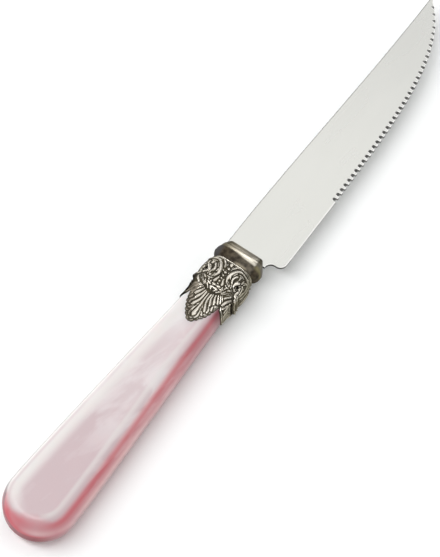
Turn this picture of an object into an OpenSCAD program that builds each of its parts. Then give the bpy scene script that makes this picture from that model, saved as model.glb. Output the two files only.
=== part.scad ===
// Table steak knife: a serrated blade with a hidden tang, a cast collar, an
// ornamental cast ferrule with leaf points, and a moulded handle with two flat faces.
// X runs along the knife to the tip, Y to the spine and Z up from the table.
// Each module is drawn from the collar's front face, on the blade's middle plane,
// and in_place() then sets it over the point on the table below the knife's middle.

/* [Blade] */
// Length of the blade in front of the collar
blade_len = 111; // [100:0.5:120]
// Width of the blade where it meets the collar
root_w = 14.2; // [13:0.1:15]
// Depth of the heel corner below the centre line
heel_drop = 12.1; // [10.5:0.1:13.5]
// Height of the tip above the centre line
tip_rise = 7; // [5:0.1:7.5]
// Thickness of the sheet at the spine
spine_t = 1.7; // [1.4:0.1:2.2]
// Thickness of the sheet at the cutting edge
edge_t = 0.8; // [0.5:0.05:1]
// Thickness of the sheet at the tip
tip_t = 1; // [0.7:0.05:1.2]
// Distance between neighbouring teeth along the knife
tooth_pitch = 2.05; // [1.8:0.05:2.6]
// Depth of the gullet between two teeth
tooth_depth = 0.9; // [0.6:0.05:1.3]
// Width of a gullet at its round end
gullet_w = 1.2; // [0.9:0.05:1.3]

/* [Tang] */
// Length of the tang behind the collar's front face
tang_len = 62; // [50:1:80]
// Width of the tang
tang_w = 6.4; // [5:0.1:6.6]
// Thickness of the tang
tang_t = 1.5; // [1.2:0.1:2]

/* [Collar] */
// Length of the collar along the knife
collar_len = 6; // [5:0.1:8]
// Width of the collar at its widest
collar_w = 15.4; // [15:0.1:16.5]
// Thickness of the collar at its thickest
collar_h = 10.4; // [9.5:0.1:11.5]
// Radius of the collar's rounded corners, seen along the knife
collar_corner_r = 3; // [2:0.1:4]
// Height that the top falls to at the collar's back
collar_back_h = 7.6; // [7:0.1:9]

/* [Ferrule] */
// Length of the bulb between the collar and the handle
bulb_len = 13.5; // [12:0.5:16]
// Width of the bulb at its widest
bulb_w = 16.8; // [16:0.1:18]
// Width and thickness of the rim beside the collar
rim_w = 14.2; // [13:0.1:15]
rim_h = 10.6; // [10:0.1:11.5]
// Length of the raised rim
rim_len = 0.9; // [0.6:0.1:1.5]
// Thickness of the metal leaves over the handle
leaf_t = 0.6; // [0.4:0.05:0.9]
// Length of the pointed leaf over each flat face
top_leaf_len = 11; // [9:0.5:14]
// Length of the leaf over each side
side_leaf_len = 4.4; // [3.5:0.1:6]
// Length of the cuff at the notches between leaves
notch_len = 2.4; // [1.5:0.1:3.2]

/* [Handle] */
// Length of the handle body behind the bulb
handle_len = 95; // [85:0.5:110]
// Thickness between the two flat faces
handle_t = 13.4; // [12.5:0.1:15]
// Radius of the round butt, seen from above
butt_r = 11.5; // [10.5:0.1:13]
// Width of the handle where it meets the bulb
front_w = 14; // [13:0.1:15]
// Thickness of the handle where it meets the bulb
front_t = 11; // [10.6:0.1:11.4]
// Length over which the thickness grows to its full size
thin_len = 30; // [25:1:45]
// Length of the plug that seats in the ferrule
plug_len = 7; // [5:0.5:8]
// Width of that plug
plug_w = 11.4; // [10.5:0.1:12]
// Thickness of that plug
plug_t = 9.4; // [9:0.1:9.8]
// Radius of the bore for the tang
bore_r = 3.6; // [3.5:0.05:3.9]
// Depth of the bore past the tang's end
bore_spare = 3; // [1:0.5:8]

/* [Hidden] */
$fn = 64;

// Clearance around the tang and the plug
fit_gap = 0.15;
// How far a cut runs past the face that it opens
overrun = 1;

// The knife's ends and the place of its middle
ferrule_x = -collar_len;
handle_x = ferrule_x - bulb_len;
butt_x = handle_x - handle_len + butt_r;
handle_reach = butt_r - butt_x;
middle_x = (blade_len - handle_reach) / 2;
middle_y = (butt_r - heel_drop) / 2;
half_t = handle_t / 2;

// Blade outline: control points as shares of the blade's length, and their offsets
heel_r = 2.3;
heel_fillet_r = 2.2;
spine_bow = 0.9;
spine_dip = 1.3;
edge_rise = 1.5;
edge_belly = 0.7;
spine_shares = [0.31, 0.68];
edge_shares = [0.54, 0.86];
outline_steps = 48;
heel_steps = 8;
spine_y = root_w / 2;
heel_gap = overrun / 5;
fillet_y = -spine_y - heel_fillet_r;
corner_x = heel_gap + heel_fillet_r + heel_r;
corner_y = heel_r - heel_drop;
spine_curve = [
    [0, spine_y],
    [spine_shares[0] * blade_len, spine_y + spine_bow],
    [spine_shares[1] * blade_len, spine_y - spine_dip],
    [blade_len, tip_rise]
];
edge_curve = [
    [corner_x, -heel_drop],
    [edge_shares[0] * blade_len, edge_rise - heel_drop],
    [edge_shares[1] * blade_len, edge_belly - heel_drop],
    [blade_len, tip_rise]
];

// Teeth: the first gullet's share of the blade's length, the plain tip behind the
// last one, how much a gullet opens outwards, and the tilt of the grinding wheel.
// From shrink_share of the blade's length on, the gullets shrink evenly, so that one at
// the tip would have last_gullet_share of the full size
first_tooth_share = 0.29;
shrink_share = 0.5;
last_gullet_share = 0.55;
plain_tip = 2.6;
gullet_flare = 0.12;
wheel_tilt = 35;
first_tooth_x = first_tooth_share * blade_len;
tooth_count = 1 + floor((blade_len - plain_tip - first_tooth_x) / tooth_pitch);
gullet_r = gullet_w / 2;

// Collar: lengths of the front bevel, the crown and the widest band as shares of
// the collar's length, and how much the front stands in from the widest size
bevel_share = 0.1;
crown_share = 0.4;
wide_shares = [0.35, 0.65];
front_in = 0.75;
bevel_in = 0.5;
side_back_in = 1.1;
hollow_steps = 8;
hollow_depth_share = 0.35;

// Section of the ferrule and the handle: corner radius as a share of the
// half thickness, and the counts of steps around it
corner_share = 0.85;
flat_steps = 12;
corner_steps = 12;

// Ferrule: height of the raised rim, petals across a top leaf, their scallops
// and ribs, and the share of the girth that a top leaf covers
rim_rise = 0.35;
rim_steps = 4;
bulb_steps = 12;
cuff_steps = 7;
swell_share = 0.8;
petals = 9;
scallop = 0.45;
rib_rise = 0.15;
top_leaf_share = 0.6;
shoulder_power = 0.75;
leaf_bite = 1;

// Handle outline: control points as shares of the body and of the swell
body_x_shares = [0, 0.45, 0.85, 1];
body_w_shares = [0, 0.47, 1, 1];
body_steps = 16;
butt_steps = 20;
side_steps = 16;

function mix(a, b, share) = a + (b - a) * share;

function bezier(p, t) =
    pow(1 - t, 3) * p[0] + 3 * pow(1 - t, 2) * t * p[1]
    + 3 * (1 - t) * t * t * p[2] + pow(t, 3) * p[3];

// The curve parameter at which a curve that always moves forward reaches x
function curve_at(p, x, low = 0, high = 1, steps = 24) =
    let (t = (low + high) / 2)
    steps == 0 ? t
    : bezier(p, t)[0] < x ? curve_at(p, x, t, high, steps - 1)
    : curve_at(p, x, low, t, steps - 1);

function arc(centre, r, from, to, steps) = [
    for (i = [0 : steps])
        let (a = mix(from, to, i / steps))
        centre + r * [cos(a), sin(a)]
];

module in_place() {
    translate([-middle_x, -middle_y, half_t])
        children();
}

// Extrudes an XZ outline along Y
module across(w) {
    rotate([90, 0, 0])
        linear_extrude(w, center = true)
            children();
}

// Extrudes a YZ outline along X, from x to x + len
module along(x, len) {
    translate([x, 0, 0])
        rotate([90, 0, 90])
            linear_extrude(len)
                children();
}

module rounded_rect(w, h, r) {
    square([w - 2 * r, h], center = true);
    square([w, h - 2 * r], center = true);
    for (y = [-1, 1], z = [-1, 1])
        translate([y * (w / 2 - r), z * (h / 2 - r)])
            circle(r);
}

module tang(gap = 0, len = tang_len) {
    translate([-len - gap, -tang_w / 2 - gap, -tang_t / 2 - gap])
        cube([len + gap, tang_w + 2 * gap, tang_t + 2 * gap]);
}

module blade_outline() {
    polygon(concat(
        [for (i = [0 : outline_steps]) bezier(spine_curve, i / outline_steps)],
        [for (i = [outline_steps - 1 : -1 : 1]) bezier(edge_curve, i / outline_steps)],
        arc([corner_x, corner_y], heel_r, 270, 180, heel_steps),
        arc([heel_gap, fillet_y], heel_fillet_r, 0, 90, heel_steps),
        [[0, -spine_y]]
    ));
}

// The blade's taper from the spine to the edge, as a YZ outline
module spine_to_edge() {
    top = spine_y + spine_bow;
    polygon([
        [top, spine_t / 2], [-heel_drop, edge_t / 2],
        [-heel_drop, -edge_t / 2], [top, -spine_t / 2]
    ]);
}

// The blade's taper from the collar to the tip, as an XZ outline
module root_to_tip() {
    polygon([
        [0, spine_t / 2], [blade_len, tip_t / 2],
        [blade_len, -tip_t / 2], [0, -spine_t / 2]
    ]);
}

// How large a gullet at x is, as a share of the full size
function gullet_share(x) =
    let (s = (x / blade_len - shrink_share) / (1 - shrink_share))
    mix(1, last_gullet_share, max(0, s));

// One wheel-ground gullet, which bites further into the upper face
module gullet(share) {
    reach = tooth_depth * share + overrun;
    r = gullet_r * share;
    rotate([-wheel_tilt, 0, 0])
        linear_extrude(2 * (spine_t + overrun), center = true) {
            circle(r);
            polygon([
                [-r, 0], [r, 0],
                [r + gullet_flare, -reach], [-r - gullet_flare, -reach]
            ]);
        }
}

module blade() {
    color("#e4e4de")
        in_place() {
            difference() {
                intersection() {
                    linear_extrude(spine_t + overrun, center = true)
                        blade_outline();
                    along(0, blade_len)
                        spine_to_edge();
                    across(2 * (heel_drop + root_w))
                        root_to_tip();
                }
                for (i = [0 : tooth_count - 1]) {
                    x = first_tooth_x + i * tooth_pitch;
                    edge = bezier(edge_curve, curve_at(edge_curve, x));
                    share = gullet_share(x);
                    translate([x, edge[1] + (tooth_depth - gullet_r) * share, 0])
                        gullet(share);
                }
            }
            tang();
        }
}

// The collar seen from above, on one side of the centre line
function collar_plan() = [
    [0, collar_w / 2 - front_in],
    [-wide_shares[0] * collar_len, collar_w / 2],
    [-wide_shares[1] * collar_len, collar_w / 2],
    [-collar_len, collar_w / 2 - side_back_in]
];

// The collar seen from the side, above the centre line: a bevel, a crown, and a
// hollow that falls to the back
function collar_side() =
    let (
        crown_x = -crown_share * collar_len,
        fall = (collar_h - collar_back_h) / 2
    )
    concat(
        [[0, collar_h / 2 - bevel_in], [-bevel_share * collar_len, collar_h / 2]],
        [for (i = [0 : hollow_steps])
            let (s = i / hollow_steps)
            [
                mix(crown_x, -collar_len, s),
                collar_h / 2 - fall * (s + hollow_depth_share * sin(180 * s))
            ]]
    );

function mirrored(half) = concat(
    half,
    [for (i = [len(half) - 1 : -1 : 0]) [half[i][0], -half[i][1]]]
);

module collar() {
    color("#8d877a")
        in_place()
            difference() {
                intersection() {
                    linear_extrude(collar_h + overrun, center = true)
                        polygon(mirrored(collar_plan()));
                    across(collar_w + overrun)
                        polygon(mirrored(collar_side()));
                    along(-collar_len, collar_len)
                        rounded_rect(collar_w, collar_h, collar_corner_r);
                }
                tang(fit_gap, collar_len + overrun);
                translate([-overrun / 2, -tang_w / 2 - fit_gap, -tang_t / 2 - fit_gap])
                    cube([overrun, tang_w + 2 * fit_gap, tang_t + 2 * fit_gap]);
            }
}

// Points around a section with flat faces and round corners: w and t are its
// half sizes and r its corner radius
function section_half(w, t, r, up) = concat(
    [for (i = [0 : flat_steps - 1]) [mix(-(w - r), w - r, i / flat_steps) * up, t * up]],
    [for (i = [0 : corner_steps])
        let (a = 90 - 90 * i / corner_steps)
        [(w - r + r * cos(a)) * up, (t - r + r * sin(a)) * up]],
    [for (i = [0 : corner_steps - 1])
        let (a = -90 * i / corner_steps)
        [(w - r + r * cos(a)) * up, (r - t + r * sin(a)) * up]]
);

function section(w, t, r) = concat(
    section_half(w, t, r, 1),
    section_half(w, t, r, -1)
);

ring_count = len(section(2, 2, 1));

// How far round from the middle of a flat face a point lies: 0 there, 1 at the side
function girth_share(i) =
    let (
        quarter = ring_count / 4,
        start = flat_steps / 2,
        j = (i - start + ring_count) % (2 * quarter)
    )
    j <= quarter ? j / quarter : (2 * quarter - j) / quarter;

// The handle's half width and half thickness at a curve parameter
function body_x(t) = mix(handle_x, butt_x, bezier(body_x_shares, t));
function body_w(t) = mix(front_w / 2, butt_r, bezier(body_w_shares, t));
function body_t(x) =
    let (s = min(1, (handle_x - x) / thin_len))
    mix(front_t / 2, half_t, s * s * (3 - 2 * s));
function body_w_at(x) =
    let (share = (handle_x - x) / (handle_x - butt_x))
    body_w(share_to_t(share));
function share_to_t(share, low = 0, high = 1, steps = 20) =
    let (t = (low + high) / 2)
    steps == 0 ? t
    : bezier(body_x_shares, t) < share ? share_to_t(share, t, high, steps - 1)
    : share_to_t(share, low, t, steps - 1);

// The handle's side from one flat face to the other, as [outward, z] points
function side_profile(w, t) =
    let (r = corner_share * t)
    concat(
        [for (i = [0 : side_steps / 2])
            let (a = 180 * i / side_steps)
            [w - r + r * sin(a), t - r + r * cos(a)]],
        [for (i = [side_steps / 2 : side_steps])
            let (a = 180 * i / side_steps)
            [w - r + r * sin(a), r - t + r * cos(a)]]
    );

profile_count = side_steps + 2;

function body_column(t, side) =
    let (x = body_x(t))
    [for (p = side_profile(body_w(t), body_t(x))) [x, side * p[0], p[1]]];

function butt_column(a) = [
    for (p = side_profile(butt_r, half_t)) [butt_x - p[0] * sin(a), p[0] * cos(a), p[1]]
];

module handle_body() {
    columns = concat(
        [for (i = [0 : body_steps]) body_column(i / body_steps, 1)],
        [for (i = [1 : butt_steps - 1]) butt_column(180 * i / butt_steps)],
        [for (i = [body_steps : -1 : 0]) body_column(i / body_steps, -1)]
    );
    last = len(columns) - 1;
    k = profile_count;
    points = [for (column = columns) each column];
    sides = [
        for (c = [0 : last - 1], p = [0 : k - 2])
            let (a = c * k + p, b = a + k)
            each [[a, b + 1, a + 1], [a, b, b + 1]]
    ];
    flats = [
        for (c = [0 : body_steps - 1])
            let (d = last - c)
            each [
                [d * k, (d - 1) * k, (c + 1) * k, c * k],
                [c * k + k - 1, (c + 1) * k + k - 1, (d - 1) * k + k - 1, d * k + k - 1]
            ]
    ];
    ends = [
        [for (c = [last - body_steps : -1 : body_steps]) c * k],
        [for (c = [body_steps : last - body_steps]) c * k + k - 1],
        concat(
            [for (p = [0 : k - 1]) p],
            [for (p = [k - 1 : -1 : 0]) last * k + p]
        )
    ];
    polyhedron(points, concat(sides, flats, ends));
}

module plug(gap = 0) {
    w = plug_w + 2 * gap;
    h = plug_t + 2 * gap;
    along(handle_x - overrun, plug_len + gap + overrun)
        rounded_rect(w, h, h / 3);
}

bore_x = -tang_len - bore_spare;
bore_len = handle_x + plug_len - bore_x;

module tang_bore(len) {
    translate([bore_x, 0, 0])
        rotate([0, 90, 0])
            cylinder(h = len, r = bore_r);
}

module handle() {
    color("#d8bcc0")
        in_place()
            difference() {
                union() {
                    handle_body();
                    plug();
                }
                tang_bore(bore_len + overrun);
            }
}

module tang_cement() {
    color("#cdbf9a")
        in_place()
            difference() {
                tang_bore(bore_len);
                tang();
            }
}

// The ferrule's half sizes: a raised rim, a bulb, and the cuff over the handle
function rim_ring(s) = [
    ferrule_x - s * rim_len,
    rim_w / 2 + rim_rise * sin(180 * s),
    rim_h / 2 + rim_rise * sin(180 * s)
];
function bulb_ring(s) =
    let (
        x = mix(ferrule_x - rim_len, handle_x, s),
        end_w = front_w / 2 + leaf_t,
        end_t = front_t / 2 + leaf_t,
        bow = pow(sin(180 * pow(s, swell_share)), swell_share)
    )
    [
        x,
        mix(mix(rim_w / 2, end_w, s), bulb_w / 2, bow),
        mix(mix(rim_h / 2, end_t, s), half_t, bow)
    ];

// How far the cuff reaches over the handle: a scalloped fan over each flat face,
// a notch, and a small leaf at each side
function cuff_len(v) =
    v < top_leaf_share
    ? let (s = v / top_leaf_share)
        mix(notch_len, top_leaf_len - scallop, pow(1 - s, shoulder_power))
        + scallop * abs(cos(90 * petals * s))
    : mix(notch_len, side_leaf_len, sin(90 * (v - top_leaf_share) / (1 - top_leaf_share)));

function rib(v) =
    v < top_leaf_share ? rib_rise * cos(180 * petals * v / top_leaf_share) : 0;

function cuff_point(i, reach_share, rise) =
    let (
        v = girth_share(i),
        x = handle_x - reach_share * cuff_len(v),
        w = body_w_at(x) + rise,
        t = body_t(x) + rise,
        p = section(w, t, corner_share * t)[i]
    )
    [x, p[0], p[1]];

function ring_points(ring) = [
    for (p = section(ring[1], ring[2], corner_share * ring[2])) [ring[0], p[0], p[1]]
];

module ferrule_body() {
    n = ring_count;
    rings = concat(
        [for (i = [0 : rim_steps - 1]) ring_points(rim_ring(i / rim_steps))],
        [for (i = [0 : bulb_steps]) ring_points(bulb_ring(i / bulb_steps))],
        [for (j = [1 : cuff_steps])
            [for (i = [0 : n - 1])
                let (s = j / cuff_steps, v = girth_share(i))
                cuff_point(i, s, leaf_t + rib(v) * sin(90 * s))]],
        [[for (i = [0 : n - 1]) cuff_point(i, 1, -leaf_bite)]]
    );
    m = len(rings);
    points = concat(
        [for (ring = rings) each ring],
        [[handle_x - notch_len, 0, 0], [ferrule_x, 0, 0]]
    );
    sides = [
        for (j = [0 : m - 2], i = [0 : n - 1])
            let (a = j * n + i, b = j * n + (i + 1) % n)
            each [[a, b + n, b], [a, a + n, b + n]]
    ];
    front = [for (i = [0 : n - 1]) [i, (i + 1) % n, m * n + 1]];
    back = [for (i = [0 : n - 1]) [(m - 1) * n + (i + 1) % n, (m - 1) * n + i, m * n]];
    polyhedron(points, concat(sides, front, back));
}

module ferrule() {
    color("#a39b8b")
        in_place()
            difference() {
                ferrule_body();
                handle_body();
                plug(fit_gap);
                tang(fit_gap);
            }
}

blade();
collar();
ferrule();
handle();
tang_cement();
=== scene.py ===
import math

import bpy
import numpy as np
from mathutils import Matrix, Vector


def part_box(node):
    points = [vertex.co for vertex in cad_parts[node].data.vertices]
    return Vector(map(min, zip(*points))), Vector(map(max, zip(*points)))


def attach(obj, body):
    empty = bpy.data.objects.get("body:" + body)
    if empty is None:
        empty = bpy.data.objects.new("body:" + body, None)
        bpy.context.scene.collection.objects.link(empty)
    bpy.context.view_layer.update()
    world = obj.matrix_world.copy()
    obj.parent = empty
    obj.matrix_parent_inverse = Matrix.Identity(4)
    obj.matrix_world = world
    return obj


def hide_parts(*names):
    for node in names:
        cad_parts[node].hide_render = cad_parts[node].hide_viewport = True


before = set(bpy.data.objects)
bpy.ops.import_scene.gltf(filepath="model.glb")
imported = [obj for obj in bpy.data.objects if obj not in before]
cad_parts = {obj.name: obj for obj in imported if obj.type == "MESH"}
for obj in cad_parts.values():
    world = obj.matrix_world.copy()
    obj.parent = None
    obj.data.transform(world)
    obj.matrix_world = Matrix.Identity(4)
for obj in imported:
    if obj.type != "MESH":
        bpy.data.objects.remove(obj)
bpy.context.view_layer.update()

# Lengths below are in millimetres, from the collar's front face (x), the knife's
# centre line (y) and the blade's middle plane (z).
MM = 0.001
blade_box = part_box("blade")
collar_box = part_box("collar")
handle_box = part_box("handle")
ORIGIN = np.array([
    collar_box[1].x,
    (handle_box[0].y + handle_box[1].y) / 2,
    (blade_box[0].z + blade_box[1].z) / 2,
])

# Handle
HANDLE_T = (handle_box[1].z - handle_box[0].z) / MM
BUTT_R = (handle_box[1].y - handle_box[0].y) / MM / 2
BUTT_X = (handle_box[0].x - collar_box[1].x) / MM + BUTT_R
BODY_W_SHARES = (0.0, 0.47, 1.0, 1.0)
BODY_X_SHARES = (0.0, 0.45, 0.85, 1.0)
FRONT_W = 14.0
FRONT_T = 11.0
THIN_LEN = 30.0
CORNER_SHARE = 0.85
PLUG_LEN = 7.0
PLUG_W = 11.4
PLUG_T = 9.4
BORE_R = 3.6
BORE_END = -65.0

# Collar
COLLAR_LEN = (collar_box[1].x - collar_box[0].x) / MM

# Ferrule
FERRULE_X = -COLLAR_LEN
HANDLE_X = -19.5
BULB_W = 16.8
RIM_W = 14.2
RIM_H = 10.6
RIM_LEN = 0.9
LEAF_T = 0.6
SWELL_SHARE = 0.8

# Axes, as numbers
ALONG = 0
ACROSS = 1


def mix(a, b, share):
    return a + (b - a) * share


def smooth(x, low, high):
    """0 below low, 1 above high and a smooth step between them. High may be below low."""
    s = np.clip((x - low) / (high - low), 0, 1)
    return s * s * (3 - 2 * s)


def bell(x, middle, width):
    """A soft bump: 1 at the middle, and almost 0 beyond twice the width."""
    return np.exp(-((x - middle) / width) ** 2)


def bezier(p, t):
    return ((1 - t) ** 3 * p[0] + 3 * (1 - t) ** 2 * t * p[1]
            + 3 * (1 - t) * t * t * p[2] + t ** 3 * p[3])


def to_frame(points):
    return ORIGIN + np.asarray(points, float) * MM


def srgb(r, g, b):
    """A colour as it looks on screen, 0 to 255, as linear values."""
    return tuple(
        c / 12.92 if c <= 0.04045 else ((c + 0.055) / 1.055) ** 2.4
        for c in (r / 255, g / 255, b / 255)
    ) + (1.0,)


# Node helpers. A socket's or node's id_data is the tree that it is in.

def new_material(name):
    """A material with its Principled shader, as (material, tree, shader)."""
    material = bpy.data.materials.new(name)
    material.use_nodes = True
    tree = material.node_tree
    return material, tree, tree.nodes["Principled BSDF"]


def feed(node, values):
    """Links sockets to a node's inputs, or sets them, each by name or number."""
    for key, value in values.items():
        if isinstance(value, bpy.types.NodeSocket):
            node.id_data.links.new(value, node.inputs[key])
        else:
            node.inputs[key].default_value = value


def add(tree, kind, values=None, **settings):
    """A new node with its settings. values feeds its inputs."""
    node = tree.nodes.new(kind)
    for key, value in settings.items():
        setattr(node, key, value)
    feed(node, values or {})
    return node


def attribute(tree, name):
    return add(tree, "ShaderNodeAttribute", attribute_name=name).outputs["Fac"]


def place(tree, scale=(1, 1, 1), turn=0.0):
    """The point on the object in millimetres, turned by degrees and stretched by scale."""
    coord = add(tree, "ShaderNodeTexCoord").outputs["Object"]
    turned = {"Vector": coord, "Rotation": (0, 0, math.radians(turn))}
    point = add(tree, "ShaderNodeMapping", turned).outputs[0]
    size = tuple(s / MM for s in scale)
    return add(tree, "ShaderNodeMapping", {"Vector": point, "Scale": size}).outputs[0]


def knife_place(tree, axis):
    """Millimetres in front of the collar's face, for axis ALONG, or from the knife's
    centre line towards the spine, for axis ACROSS."""
    point = add(tree, "ShaderNodeSeparateXYZ", {0: place(tree)}).outputs[axis]
    return math_node("SUBTRACT", point, float(ORIGIN[axis] / MM))


def noise(vector, scale, detail=3.0, roughness=0.5, distortion=0.0):
    values = {"Vector": vector, "Scale": scale, "Detail": detail,
              "Roughness": roughness, "Distortion": distortion}
    return add(vector.id_data, "ShaderNodeTexNoise", values).outputs["Fac"]


def math_node(operation, a, b=0.0, clamp=False):
    node = add(a.id_data, "ShaderNodeMath", {0: a, 1: b}, operation=operation,
               use_clamp=clamp)
    return node.outputs[0]


def times(a, b):
    return math_node("MULTIPLY", a, b)


def plus(a, b, clamp=False):
    return math_node("ADD", a, b, clamp)


def remap(value, low, high, to_low=0.0, to_high=1.0, smoothly=True):
    """Goes from to_low to to_high as the value goes from low to high."""
    kind = "SMOOTHSTEP" if smoothly else "LINEAR"
    values = {"Value": value, "From Min": low, "From Max": high,
              "To Min": to_low, "To Max": to_high}
    return add(value.id_data, "ShaderNodeMapRange", values, interpolation_type=kind).outputs[0]


def blend(factor, a, b):
    values = {0: factor, 6: a, 7: b}
    return add(factor.id_data, "ShaderNodeMix", values, data_type="RGBA").outputs[2]


def layered(colour, *layers):
    """A colour with others laid over it in turn, each as (factor, colour)."""
    for factor, over in layers:
        colour = blend(factor, colour, over)
    return colour


def bump(height, distance, strength):
    values = {"Height": height, "Distance": distance * MM, "Strength": strength}
    return add(height.id_data, "ShaderNodeBump", values).outputs[0]


def dress(obj, material):
    obj.data.materials.clear()
    obj.data.materials.append(material)


# Mesh helpers

def new_object(name, data):
    """An object in the scene's own collection."""
    obj = bpy.data.objects.new(name, data)
    bpy.context.scene.collection.objects.link(obj)
    return obj


def make_piece(name, node, mesh_parts, material, sharp_angle):
    """A mesh that stands for a CAD node, from its points in millimetres, its faces and
    its attributes."""
    points, faces, attributes = mesh_parts
    mesh = bpy.data.meshes.new(name)
    mesh.from_pydata(to_frame(points), [], faces)
    mesh.validate()
    mesh.shade_smooth()
    if sharp_angle:
        mesh.set_sharp_from_angle(angle=math.radians(sharp_angle))
    for key, values in attributes.items():
        layer = mesh.attributes.new(key, "FLOAT", "POINT")
        layer.data.foreach_set("value", np.asarray(values, np.float32).ravel())
    piece = new_object(name, mesh)
    dress(piece, material)
    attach(piece, "root")
    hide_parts(node)


def ring_quads(rows, columns):
    """Quads between closed rings of points, ring after ring."""
    i = np.arange(rows - 1)[:, None] * columns
    j = np.arange(columns)[None, :]
    k = (j + 1) % columns
    return np.stack([i + j, i + k, i + k + columns, i + j + columns], -1).reshape(-1, 4)


def section_point(w, t, s):
    """The point at girth s from the middle of the upper face of a section with half
    sizes w and t, and its outward direction, both as (y, z)."""
    r = CORNER_SHARE * t
    flat = w - r
    wall = t - r
    a = np.abs(s)
    side = np.where(s < 0, -1.0, 1.0)
    angle = np.clip((a - flat) / r, 0, math.pi / 2)
    drop = np.clip(a - flat - r * math.pi / 2, 0, wall)
    y = side * (np.minimum(a, flat) + r * np.sin(angle))
    z = wall + r * np.cos(angle) - drop
    return y, z, side * np.sin(angle), np.cos(angle)


def quarter_girth(w, t):
    r = CORNER_SHARE * t
    return (w - r) + r * math.pi / 2 + (t - r)


def quarter_signs(count):
    """For a ring that starts at the top and turns to +Y, each point's share of the
    quarter from the face's middle to the side, and its signs in y and z."""
    rise = np.arange(count) / count
    fall = 1 - rise
    share = np.concatenate([rise, fall, rise, fall])
    side = np.repeat([1.0, 1.0, -1.0, -1.0], count)
    up = np.repeat([1.0, -1.0, -1.0, 1.0], count)
    return share, side, up


# Sizes along the knife

CURVE_T = np.linspace(0, 1, 400)
BODY_X_CURVE = bezier(BODY_X_SHARES, CURVE_T)
BODY_W_CURVE = bezier(BODY_W_SHARES, CURVE_T)


def body_w(x):
    share = (HANDLE_X - x) / (HANDLE_X - BUTT_X)
    return mix(FRONT_W / 2, BUTT_R, np.interp(share, BODY_X_CURVE, BODY_W_CURVE))


def body_t(x):
    return mix(FRONT_T / 2, HANDLE_T / 2, smooth(x, HANDLE_X, HANDLE_X - THIN_LEN))


def ferrule_size(x):
    """The ferrule's half width and half thickness."""
    s = np.clip((FERRULE_X - RIM_LEN - x) / (FERRULE_X - RIM_LEN - HANDLE_X), 0, 1)
    bow = np.maximum(np.sin(math.pi * s ** SWELL_SHARE), 0) ** SWELL_SHARE
    w = mix(mix(RIM_W / 2, FRONT_W / 2 + LEAF_T, s), BULB_W / 2, bow)
    t = mix(mix(RIM_H / 2, FRONT_T / 2 + LEAF_T, s), HANDLE_T / 2, bow)
    over = x < HANDLE_X
    return (np.where(over, body_w(x) + LEAF_T, w), np.where(over, body_t(x) + LEAF_T, t))


# Handle

HANDLE_ARC = 24
BODY_STEPS = 110
BUTT_STEPS = 64
FLAT_STRIPS = 24

# Colour shares down the side, each at turns of 0 to 180 degrees from the spine's side
# round the butt to the edge's side. Angles are in degrees from the flat's border.
SHADE_TURNS = (0, 30, 60, 90, 120, 150, 180)
# The rose is the body's own colour, but that it starts only far down the side on the spine's side
# is painted light
ROSE_STARTS = (75, 32, 30, 8, -2, 30, 28)
ROSE_FADES = (15, 26, 20, 38, 46, 16, 17)
ROSE_SHARES = (0.2, 0.9, 1.0, 1.0, 0.62, 0.9, 0.95)
DEEP_STARTS = (90, 60, 40, 60, 66, 76, 90)
DEEP_SHARES = (0.0, 0.25, 1.0, 1.0, 1.0, 0.3, 0.0)
DEEP_FADE = 22.0
# Painted highlight: the whitish sheen on the shoulders, strongest on the spine's side
PAINTED_SHEEN_SHARES = (1.0, 0.95, 0.45, 0.0, 0.0, 0.7, 0.6)
# Painted reflection: a pale stripe down the side and round the butt, whitish on the spine's side
PAINTED_REFLECTION_SHARES = (1.0, 0.0, 0.0, 0.0, 0.9, 0.4, 0.75)
PAINTED_REFLECTION_ANGLES = (54, 60, 69, 69, 69, 74, 84)
PAINTED_REFLECTION_WIDTHS = (9, 9, 11, 11, 11, 12, 15)
# The line is painted shade: a darker band low down the side and round the butt's rim
LINE_STARTS = (51, 46, 66, 82, 84, 86, 90)
LINE_SHARES = (0.7, 0.8, 0.8, 1.0, 1.0, 0.4, 0.3)
LINE_FADES = (7, 12)
LINE_REACH = 30.0
LINE_END = (76, 62)
# A dip in the painted highlight on the shoulder
DIP_AT = 36.0
DIP_W = 7.0
DIP_SHARE = 0.55
# A darker rose band down the side towards the edge's side, which is painted shade
SHADE_BAND_AT = 50.0
SHADE_BAND_W = 7.0
SHADE_BAND_SHARE = 0.42
FLAT_DEGREES = 10.0
# The whitish shoulder, a painted highlight, on the spine's side and on the edge's side:
# the angles at which it starts and is full, and the angles between which it ends on the
# edge's side
PAINTED_SHEEN_STARTS = (-18, 4)
PAINTED_SHEEN_FULL = (14, 11)
EDGE_PAINTED_SHEEN_END = (30, 14)
# Turns over which the painted shade band, the edge's side and the butt come in
SHADE_BAND_TURNS = (130, 170)
EDGE_TURNS = (60, 150)
BUTT_TURNS = (15, 60)
# painted_sheen is a painted highlight, painted_reflection a painted reflection and line painted
# shade; deep also carries the painted shade band
SHADES = ("painted_sheen", "rose", "deep", "painted_reflection", "line")
PLUG_POWER = 5


def side_profile(w, t):
    """Outward distance, height and degrees from the flat, from one flat to the other."""
    r = CORNER_SHARE * t
    a = np.linspace(0, math.pi / 2, HANDLE_ARC + 1)
    out = w - r + r * np.sin(a)
    z = t - r + r * np.cos(a)
    angle = np.degrees(a)
    return (np.concatenate([out, out[::-1]]), np.concatenate([z, -z[::-1]]),
            np.concatenate([angle, angle[::-1]]))


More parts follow.
